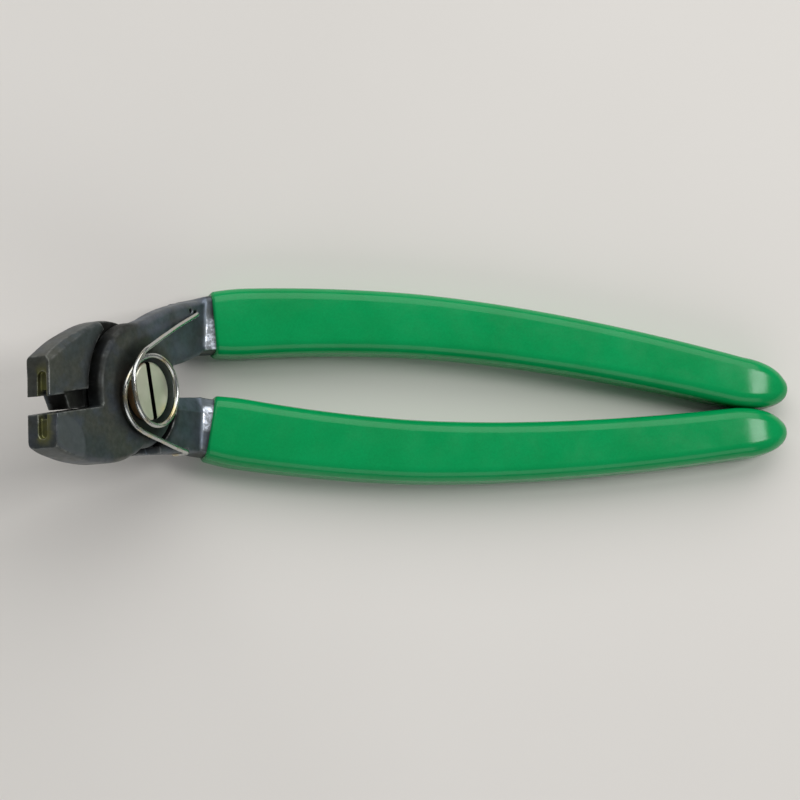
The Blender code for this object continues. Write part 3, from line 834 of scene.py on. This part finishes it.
def build_forging(made, body, node, seed):
    """A fine, slightly wavy skin on a flat forging, marked, folded and placed."""
    front = body == "front"
    remesh(made, VOXEL, SMOOTHING)
    place = positions(made.data)
    facing = normals(made.data)
    ground = grind_jaw(place)
    place -= facing * (ground * GRIND_DEPTH * smoothstep(*GRIND_SLOPE, place[:, 0]))[:, None]
    place += facing * (WAVE_HEIGHT * waviness(place, WAVE_LENGTH, seed) * (1.0 - ground))[:, None]
    put_positions(made.data, place)
    paint(made.data, "worn_and_highlit_edges", neighbour_mean(made.data, edge_wear_and_highlight(made.data), EDGE_SPREAD_STEPS))
    paint(made.data, "ground", ground)
    paint(made.data, "painted_reflection_and_brown", painted_groove_reflection(place))
    paint(made.data, "painted_shade", painted_shade_on_front(place) if front else painted_shade_on_back(place))
    paint(made.data, "painted_highlight", painted_fold_highlight(place))
    paint(made.data, "shank", shank_scale_and_flat_sheen(place, front))
    put_positions(made.data, stand(place))
    thin_out(made, FORGING_FACES)
    dress(made, "forged_steel", body, node)


# ---- Pivot hardware ----


def finish_solid(made, slot, node):
    """Stands a turned piece on the pivot, where it rides on the back half."""
    put_positions(made.data, stand(positions(made.data)))
    dress(made, slot, "back", node)
    made.data.set_sharp_from_angle(angle=SOLID_EDGE)


def threaded_ring(h, end):
    """A ring of the thread at height h, which grows from the screw's end over the lead."""
    lead = min(1.0, (h - end) / SCREW_LEAD)
    step = 2 * math.pi / TURNED_SIDES
    ring = []
    for j in range(TURNED_SIDES):
        turn = (h / THREAD_PITCH - j / TURNED_SIDES) % 1.0
        ridge = abs(2.0 * turn - 1.0)
        radius = SCREW_SHANK_RADIUS - THREAD_DEPTH * max(ridge, 1.0 - lead) - SCREW_LEAD_DEPTH * (1.0 - lead)
        ring.append((radius * math.cos(j * step), radius * math.sin(j * step), h))
    return ring


def screw_rings():
    """The threaded end, then the plain shank and the head, as rings from the end to the top."""
    end = -FACE - 2 * GAP - WASHER_THICKNESS - NUT_THICKNESS - SCREW_END
    thread_top = -FACE
    heights = [end + (thread_top - end) * i / THREAD_STEPS for i in range(THREAD_STEPS + 1)]
    shoulder = FACE + GAP
    profile = [
        (SCREW_SHANK_RADIUS, thread_top + SCREW_NECK),
        (SCREW_SHANK_RADIUS, shoulder),
        (SCREW_HEAD_RADIUS - SCREW_UNDER_EDGE, shoulder),
        (SCREW_HEAD_RADIUS, shoulder + SCREW_UNDER_EDGE),
    ]
    for degrees in (90, 72, 54, 36, 18, 0):
        t = math.radians(degrees)
        radius = SCREW_HEAD_RADIUS - SCREW_EDGE_ROUND * (1 - math.sin(t))
        profile.append((radius, SCREW_HEAD_TOP - SCREW_EDGE_ROUND * (1 - math.cos(t))))
    return [threaded_ring(h, end) for h in heights] + [circle(radius, h) for radius, h in profile]


def build_screw():
    """The slotted screw, with painted shade in its slot and brown painted on its head's side."""
    made = loft("slotted_pivot_screw", screw_rings())
    along = Vector((math.cos(SLOT_ANGLE), math.sin(SLOT_ANGLE))) * (SCREW_HEAD_RADIUS + PAST)
    aside = Vector((-math.sin(SLOT_ANGLE), math.cos(SLOT_ANGLE))) * SLOT_HALF_WIDTH
    corners = [tuple(c) for c in (along + aside, aside - along, -along - aside, along - aside)]
    cut(made, [prism("slot", corners, SCREW_HEAD_TOP - SLOT_DEPTH, SCREW_HEAD_TOP + PAST)])
    a, b, h = positions(made.data).T
    across = np.abs(a * math.sin(SLOT_ANGLE) - b * math.cos(SLOT_ANGLE))
    # Painted shade: the slot's floor and walls are painted near-black.
    paint(made.data, "painted_shade", (across < SLOT_HALF_WIDTH + SLOT_SKIN) * (h > FACE) * 1.0)
    # Brown painted on the head's side, below its round edge.
    below_edge = smoothstep(SCREW_HEAD_TOP - HEAD_BROWN_START, SCREW_HEAD_TOP - SCREW_EDGE_ROUND, h)
    paint(made.data, "painted_reflection_and_brown", (np.hypot(a, b) > SCREW_HEAD_RADIUS - HEAD_SKIN) * below_edge)
    finish_solid(made, "nickel_plate", "pivot_screw")


def build_washer():
    high = -FACE - GAP
    inner = SCREW_SHANK_RADIUS + GAP
    middle = 0.5 * (WASHER_RADIUS + inner)
    half = 0.5 * WASHER_THICKNESS
    edge = section(0.5 * (WASHER_RADIUS - inner), half, WASHER_EDGE, EDGE_SEGMENTS)
    made = turned_ring("rounded_washer", [(middle + across, high - half + h) for across, h in edge])
    finish_solid(made, "zinc_plate", "pivot_washer")


def build_nut():
    """A hexagon nut with its corners crowned on both faces."""
    high = -FACE - 2 * GAP - WASHER_THICKNESS
    low = high - NUT_THICKNESS
    made = cylinder("chamfered_nut", NUT_RADIUS, low, high, sides=6)
    flats = NUT_RADIUS * math.cos(math.radians(30.0)) - NUT_CROWN_IN
    outside = NUT_RADIUS + NUT_CROWN_PAST
    crown = [(flats, low), (outside, low + NUT_CROWN), (outside, high - NUT_CROWN), (flats, high)]
    cut(made, [turned("crown", crown)], "INTERSECT")
    cut(made, [cylinder("nut_bore", SCREW_SHANK_RADIUS + NUT_CLEARANCE, low - PAST, high + PAST)])
    remesh(made, NUT_VOXEL, NUT_SMOOTHING)
    thin_out(made, NUT_FACES)
    finish_solid(made, "zinc_plate", "pivot_nut")


# ---- Spring ----


def spring_route():
    """The wire's middle: from the upper arm's hole, round the screw's head, to the lower arm's hook."""
    coil = []
    for angle, radius, height in smooth_through(COIL, WIRE_STEPS):
        turn = math.radians(angle)
        coil.append((radius * math.cos(turn), radius * math.sin(turn), height))
    upper = smooth_through([(*ARM_HOLE, ARM_END), (*ARM_HOLE, ARM_BEND), *UPPER_ARM, coil[0]], WIRE_STEPS)
    lower = smooth_through([coil[-1], *LOWER_ARM], WIRE_STEPS)
    return np.array([*upper[:-1], *coil, *lower[1:]])


def tube(name, route, radius, sides):
    """A round wire along the route, with its ends rounded over."""
    heading = np.gradient(route, axis=0)
    heading /= np.linalg.norm(heading, axis=1)[:, None]
    across = np.cross(heading[0], (1.0, 0.0, 0.0))
    caps = [(math.cos(math.radians(d)), math.sin(math.radians(d))) for d in WIRE_CAP_ANGLES]
    turns = [2 * math.pi * j / sides for j in range(sides)]
    rings = []
    for i, (point, forward) in enumerate(zip(route, heading)):
        across = across - forward * (across @ forward)
        across /= np.linalg.norm(across)
        other = np.cross(forward, across)
        rounds = [(0.0, 1.0)]
        if i == 0:
            rounds = [*[(-ahead, size) for ahead, size in caps], *rounds]
        if i == len(route) - 1:
            rounds = [*rounds, *reversed(caps)]
        for ahead, size in rounds:
            centre = point + forward * ahead * radius * WIRE_CAP
            spokes = [across * math.cos(t) + other * math.sin(t) for t in turns]
            rings.append([tuple(centre + radius * size * spoke) for spoke in spokes])
    return loft(name, rings)


def build_spring():
    """The spring, attached to no body: its wire runs from the upper arm's hole on the front half, round the
    coil, to the lower arm's hook on the back half.
    """
    made = tube("torsion_spring", spring_route(), WIRE_RADIUS, WIRE_SIDES)
    put_positions(made.data, stand(positions(made.data)))
    dress(made, "spring_wire", None, "return_spring")
    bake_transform(made)


# ---- Grips ----


def handle_ring(x, side, outline):
    """A section's outline, square to a handle's bow at x."""
    slope = side * (handle_centre(x + SLOPE_STEP) - handle_centre(x - SLOPE_STEP)) / (2 * SLOPE_STEP)
    turn = math.atan(slope)
    ring = []
    for across, h in outline:
        flat = from_handle(x - across * math.sin(turn), side * handle_centre(x) + across * math.cos(turn))
        ring.append((*flat, h))
    return ring


def grip_ring(x, side, inset):
    """A grip's outside at x: thinner towards its lip, and closing in to the round tip."""
    share = max(0.0, (x - TIP_START) / (GRIP_END - TIP_START))
    size = (1.0 - share**TIP_POWER) ** (1.0 / TIP_POWER)
    lip = LIP_THINNING * max(0.0, 1.0 - (x - GRIP_START) / LIP_LENGTH) ** 2
    width = grip_half_width(x) * size - inset - lip
    return handle_ring(x, side, section(width, GRIP_HALF_THICKNESS * size - inset, GRIP_CORNER))


def cavity_ring(x, side):
    """A grip's inside at x, a gap clear of the tang."""
    radius = tang_half_width(TANG_END) + GAP
    share = max(0.0, (x - (TANG_END - radius)) / (radius + CAVITY_PAST_TANG))
    width = (grip_half_width(x) - GRIP_WALL) * math.sqrt(1.0 - share**2)
    return handle_ring(x, side, section(width, GRIP_HALF_THICKNESS - GRIP_WALL, CAVITY_CORNER))


def build_grip(name, side, body, node):
    """A dipped sleeve: its cavity from the blind end out, round the lip, and back along the outside."""
    lip = []
    for degrees in (0, 18, 36, 54, 72):
        t = math.radians(degrees)
        lip.append((GRIP_START + LIP_ROUND * (1 - math.cos(t)), LIP_ROUND * (1 - math.sin(t))))
    body_x = [GRIP_START + LIP_ROUND, *LIP_STATIONS, *BODY_STATIONS]
    tip_x = [GRIP_END - (GRIP_END - TIP_START) * (1 - math.sin(math.radians(d))) for d in range(6, 90, 6)]
    outer = [grip_ring(x, side, inset) for x, inset in lip]
    outer += [grip_ring(x, side, 0.0) for x in [*body_x, *tip_x, GRIP_END - TIP_GAP]]
    inner = [cavity_ring(x, side) for x in (GRIP_START, *CAVITY_STATIONS)]
    made = loft(name, [*reversed(inner), *outer])
    put_positions(made.data, stand(positions(made.data)))
    dress(made, "green_vinyl", body, node)
    made.data.set_sharp_from_angle(angle=GRIP_EDGE)


# ---- Materials ----


class Look:
    """A material's nodes: each call adds one and returns its output."""

    def __init__(self, name):
        self.made = bpy.data.materials.new(name)
        self.made.use_nodes = True
        self.tree = self.made.node_tree
        self.shader = self.tree.nodes["Principled BSDF"]

    def node(self, kind, output, settings=(), **inputs):
        made = self.tree.nodes.new(kind)
        for key, value in dict(settings).items():
            setattr(made, key, value)
        for key, value in inputs.items():
            self.feed(made, key, value)
        return made.outputs[output]

    def feed(self, made, key, value):
        """Links or sets an input: by its name with _ for a space, or i and its number."""
        key = int(key[1:]) if key[1:].isdigit() else key.replace("_", " ")
        socket = made.inputs[key]
        if isinstance(value, bpy.types.NodeSocket):
            self.tree.links.new(value, socket)
        else:
            socket.default_value = value

    def set(self, **inputs):
        for key, value in inputs.items():
            self.feed(self.shader, key, value)

    def place(self):
        return self.node("ShaderNodeTexCoord", "Object")

    def grain(self, scale, detail, roughness, stretch=(1.0, 1.0, 1.0), turn=(0.0, 0.0, 0.0)):
        """Noise fixed to the piece, of the given scale per metre."""
        mapped = self.node("ShaderNodeMapping", "Vector", Vector=self.place(), Scale=stretch, Rotation=turn)
        inputs = {"Vector": mapped, "Scale": scale, "Detail": detail, "Roughness": roughness}
        return self.node("ShaderNodeTexNoise", "Fac", **inputs)

    def span(self, value, low, high, to_low=0.0, to_high=1.0):
        return self.node("ShaderNodeMapRange", "Result", i0=value, i1=low, i2=high, i3=to_low, i4=to_high)

    def maths(self, operation, a, b):
        return self.node("ShaderNodeMath", "Value", {"operation": operation}, i0=a, i1=b)

    def mix(self, share, a, b, blend="MIX"):
        settings = {"data_type": "RGBA", "blend_type": blend}
        return self.node("ShaderNodeMix", "Result", settings, i0=share, i6=a, i7=b)

    def times(self, a, b):
        return self.maths("MULTIPLY", a, b)

    def patchy(self, mark, scale, low):
        """A painted mark, broken up by noise so that it never falls below its low share."""
        return self.times(self.painted(mark), self.span(self.grain(scale, 4.0, 0.6), 0.3, 0.6, low, 1.0))

    def grey(self, value):
        return self.node("ShaderNodeCombineColor", "Color", i0=value, i1=value, i2=value)

    def painted(self, name):
        return self.node("ShaderNodeAttribute", "Fac", {"attribute_name": name})

    def bump(self, height, strength, distance, onto=None):
        inputs = {"Height": height, "Strength": strength, "Distance": distance}
        if onto is not None:
            inputs["Normal"] = onto
        return self.node("ShaderNodeBump", "Normal", **inputs)


def colour(r, g, b):
    return (r, g, b, 1.0)


def steel_look():
    """Dark forged steel: patches of grey and olive scale, painted shade, fine grain, scratches, and worn
    edges also painted lighter as an edge highlight, with a painted highlight along the fold and a painted
    olive reflection in the clip grooves.
    """
    look = Look("forged_steel_look")
    patches = look.span(look.grain(90.0, 4.0, 0.6), 0.42, 0.62)
    base = look.mix(patches, colour(0.074, 0.088, 0.09), colour(0.098, 0.102, 0.088))
    blue = look.span(look.grain(140.0, 3.0, 0.5), 0.5, 0.66)
    base = look.mix(blue, base, colour(0.09, 0.104, 0.122))
    mottle = look.span(look.grain(700.0, 5.0, 0.65), 0.3, 0.7, 0.78, 1.22)
    base = look.mix(1.0, base, look.grey(mottle), "MULTIPLY")
    # Bluish scale on the shanks, with a painted reflection on the lower shank's flat.
    blotches = look.span(look.grain(210.0, 5.0, 0.6), 0.38, 0.6, 0.3, 1.0)
    base = look.mix(look.times(look.painted("shank"), blotches), base, colour(0.2, 0.235, 0.3))
    base = look.mix(look.patchy("ground", 420.0, 0.5), base, colour(0.125, 0.142, 0.15))
    # Painted shade: near-black in the recesses, round the boss's edge and under the coil.
    painted_shade = look.patchy("painted_shade", 330.0, 0.8)
    base = look.mix(painted_shade, base, colour(0.012, 0.012, 0.011))
    # Painted olive reflection in the clip grooves.
    base = look.mix(look.patchy("painted_reflection_and_brown", 520.0, 0.6), base, colour(0.19, 0.19, 0.07))
    # Painted highlight along the fold, mottled by flecks.
    flecks = look.span(look.grain(760.0, 4.0, 0.65), 0.44, 0.56)
    bright = look.times(look.painted("painted_highlight"), look.maths("ADD", look.times(flecks, 0.7), 0.25))
    base = look.mix(bright, base, colour(0.8, 0.85, 0.95))
    # Worn edges, painted lighter both as wear and as a painted edge highlight.
    patches = look.span(look.grain(500.0, 4.0, 0.6), 0.42, 0.62, 0.05, 1.0)
    rubbed = look.times(look.times(look.painted("worn_and_highlit_edges"), patches), 0.6)
    base = look.mix(rubbed, base, colour(0.33, 0.34, 0.33))
    rough = look.span(look.grain(260.0, 4.0, 0.6), 0.3, 0.7, 0.36, 0.52)
    rough = look.maths("SUBTRACT", rough, look.times(rubbed, 0.1))
    rough = look.maths("SUBTRACT", rough, look.times(bright, 0.1))
    rough = look.maths("ADD", rough, look.times(painted_shade, 0.12))
    scratches = look.grain(1500.0, 2.0, 0.5, (1.0, 0.05, 1.0), (0.0, 0.4, 0.5))
    normal = look.bump(look.grain(420.0, 2.0, 0.5), 0.35, 0.00012)
    normal = look.bump(scratches, 0.12, 0.00003, normal)
    normal = look.bump(look.grain(4200.0, 3.0, 0.6), 0.22, 0.00003, normal)
    look.set(Base_Color=base, Roughness=rough, Metallic=0.85, Normal=normal, Specular_IOR_Level=0.25)
    return look.made


def nickel_look():
    """Satin nickel plate with a slight olive cast, and fine turning marks under hairline scratches."""
    look = Look("nickel_plate_look")
    patches = look.span(look.grain(260.0, 3.0, 0.5), 0.35, 0.65)
    base = look.mix(patches, colour(0.8, 0.81, 0.63), colour(0.88, 0.88, 0.72))
    rough = look.span(look.grain(520.0, 4.0, 0.6), 0.3, 0.7, 0.3, 0.44)
    scratches = look.grain(2400.0, 2.0, 0.5, (1.0, 0.06, 0.06), (0.3, 0.0, 0.9))
    normal = look.bump(look.grain(3800.0, 3.0, 0.6), 0.12, 0.00002)
    normal = look.bump(scratches, 0.1, 0.00002, normal)
    # Brown on the head's side, then near-black painted shade in the slot.
    base = look.mix(look.painted("painted_reflection_and_brown"), base, colour(0.42, 0.25, 0.12))
    base = look.mix(look.painted("painted_shade"), base, colour(0.01, 0.01, 0.009))
    look.set(Base_Color=base, Roughness=rough, Metallic=0.95, Normal=normal)
    return look.made


def zinc_look():
    """Dull zinc plate with a soft spangle."""
    look = Look("zinc_plate_look")
    patches = look.span(look.grain(600.0, 2.0, 0.5), 0.4, 0.6)
    base = look.mix(patches, colour(0.4, 0.41, 0.41), colour(0.5, 0.51, 0.5))
    rough = look.span(look.grain(900.0, 3.0, 0.5), 0.3, 0.7, 0.34, 0.5)
    normal = look.bump(look.grain(3000.0, 3.0, 0.6), 0.15, 0.00002)
    look.set(Base_Color=base, Roughness=rough, Metallic=0.95, Normal=normal)
    return look.made


def wire_look():
    """Bright drawn wire with faint draw marks and a few warmer stretches."""
    look = Look("spring_wire_look")
    warm = look.span(look.grain(180.0, 3.0, 0.5), 0.5, 0.66)
    base = look.mix(warm, colour(0.5, 0.51, 0.49), colour(0.55, 0.46, 0.26))
    rough = look.span(look.grain(1300.0, 3.0, 0.6), 0.3, 0.7, 0.16, 0.3)
    normal = look.bump(look.grain(5200.0, 2.0, 0.5), 0.08, 0.00001)
    look.set(Base_Color=base, Roughness=rough, Metallic=1.0, Normal=normal)
    return look.made


def vinyl_look():
    """Glossy dipped vinyl: an even green with faint clouding, orange peel and rubbed patches."""
    look = Look("green_vinyl_look")
    clouds = look.span(look.grain(70.0, 4.0, 0.55), 0.35, 0.65)
    base = look.mix(clouds, colour(0.0005, 0.268, 0.07), colour(0.0007, 0.3, 0.083))
    specks = look.span(look.grain(2600.0, 2.0, 0.5), 0.3, 0.7, 0.94, 1.06)
    base = look.mix(1.0, base, look.grey(specks), "MULTIPLY")
    rough = look.span(look.grain(160.0, 5.0, 0.6), 0.35, 0.7, 0.14, 0.24)
    normal = look.bump(look.grain(330.0, 2.0, 0.5), 0.12, 0.00012)
    normal = look.bump(look.grain(2600.0, 2.0, 0.5), 0.05, 0.00002, normal)
    look.set(Base_Color=base, Roughness=rough, Metallic=0.0, Normal=normal, Specular_IOR_Level=0.28)
    return look.made


def floor_look():
    look = Look("pale_floor")
    clouds = look.span(look.grain(6.0, 3.0, 0.5), 0.3, 0.7)
    base = look.mix(clouds, colour(0.70, 0.67, 0.63), colour(0.74, 0.71, 0.67))
    look.set(Base_Color=base, Roughness=0.7)
    return look.made


# ---- Studio ----

CAMERA_AIM = Vector((-0.0013, -0.0012, 0.008))
CAMERA_AZIMUTH = math.radians(-51.944)
CAMERA_ELEVATION = math.radians(74.808)
CAMERA_ROLL = math.radians(54.353)
CAMERA_DISTANCE = 0.99955
CAMERA_LENS = 200.25
FLOOR_HALF_SIZE = 1.5
SKY_COLOUR = (0.92, 0.96, 1.0, 1.0)
SKY_STRENGTH = 0.16
LIGHTS = {
    "overhead": {"direction": (-0.1, 1.0, 1.0), "distance": 1.25, "size": (2.0, 1.2), "watts": 15.0},
    "key": {"direction": (0.58, 0.16, 0.8), "distance": 0.9, "size": (0.26, 0.26), "watts": 2.4},
    "side": {"direction": (0.1, -1.0, 0.6), "distance": 1.2, "size": (1.6, 0.7), "watts": 4.0},
}


def away(azimuth, elevation):
    """The direction from the aim to the camera; azimuth 0 looks along +Y."""
    flat = math.cos(elevation)
    return Vector((math.sin(azimuth) * flat, -math.cos(azimuth) * flat, math.sin(elevation)))


def build_camera():
    data = bpy.data.cameras.new("camera")
    data.lens = CAMERA_LENS
    data.clip_start = 0.05
    data.clip_end = 20.0
    made = bpy.data.objects.new("camera", data)
    bpy.context.scene.collection.objects.link(made)
    back = away(CAMERA_AZIMUTH, CAMERA_ELEVATION)
    right = Vector((0.0, 0.0, 1.0)).cross(back).normalized()
    up = back.cross(right)
    frame_axes = Matrix((right, up, back)).transposed().to_4x4()
    roll = Matrix.Rotation(CAMERA_ROLL, 4, "Z")
    made.matrix_world = Matrix.Translation(CAMERA_AIM + back * CAMERA_DISTANCE) @ frame_axes @ roll
    bpy.context.scene.camera = made


def area_light(name, direction, distance, size, watts):
    """A soft rectangular light that faces the origin from the direction given."""
    data = bpy.data.lights.new(name, "AREA")
    data.shape = "RECTANGLE"
    data.size, data.size_y = size
    data.energy = watts
    made = bpy.data.objects.new(name, data)
    bpy.context.scene.collection.objects.link(made)
    direction = Vector(direction).normalized()
    made.location = direction * distance
    made.rotation_mode = "QUATERNION"
    made.rotation_quaternion = direction.to_track_quat("Z", "Y")


def build_studio():
    bm = bmesh.new()
    bmesh.ops.create_grid(bm, x_segments=1, y_segments=1, size=FLOOR_HALF_SIZE)
    floor = to_object("floor", bm)
    floor.data.materials.append(floor_look())
    world = bpy.data.worlds.new("studio")
    world.use_nodes = True
    background = world.node_tree.nodes["Background"]
    background.inputs["Color"].default_value = SKY_COLOUR
    background.inputs["Strength"].default_value = SKY_STRENGTH
    bpy.context.scene.world = world
    for name, light in LIGHTS.items():
        area_light(name, **light)
    bpy.context.scene.view_settings.view_transform = "Standard"


LOOKS = {
    "forged_steel": steel_look(),
    "nickel_plate": nickel_look(),
    "zinc_plate": zinc_look(),
    "spring_wire": wire_look(),
    "green_vinyl": vinyl_look(),
}

build_forging(front_flat(), "front", "front_half", 3)
build_forging(back_flat(), "back", "back_half", 8)
build_screw()
build_washer()
build_nut()
build_spring()
build_grip("dipped_upper_grip", 1, "front", "upper_grip")
build_grip("dipped_lower_grip", -1, "back", "lower_grip")
build_studio()
build_camera()
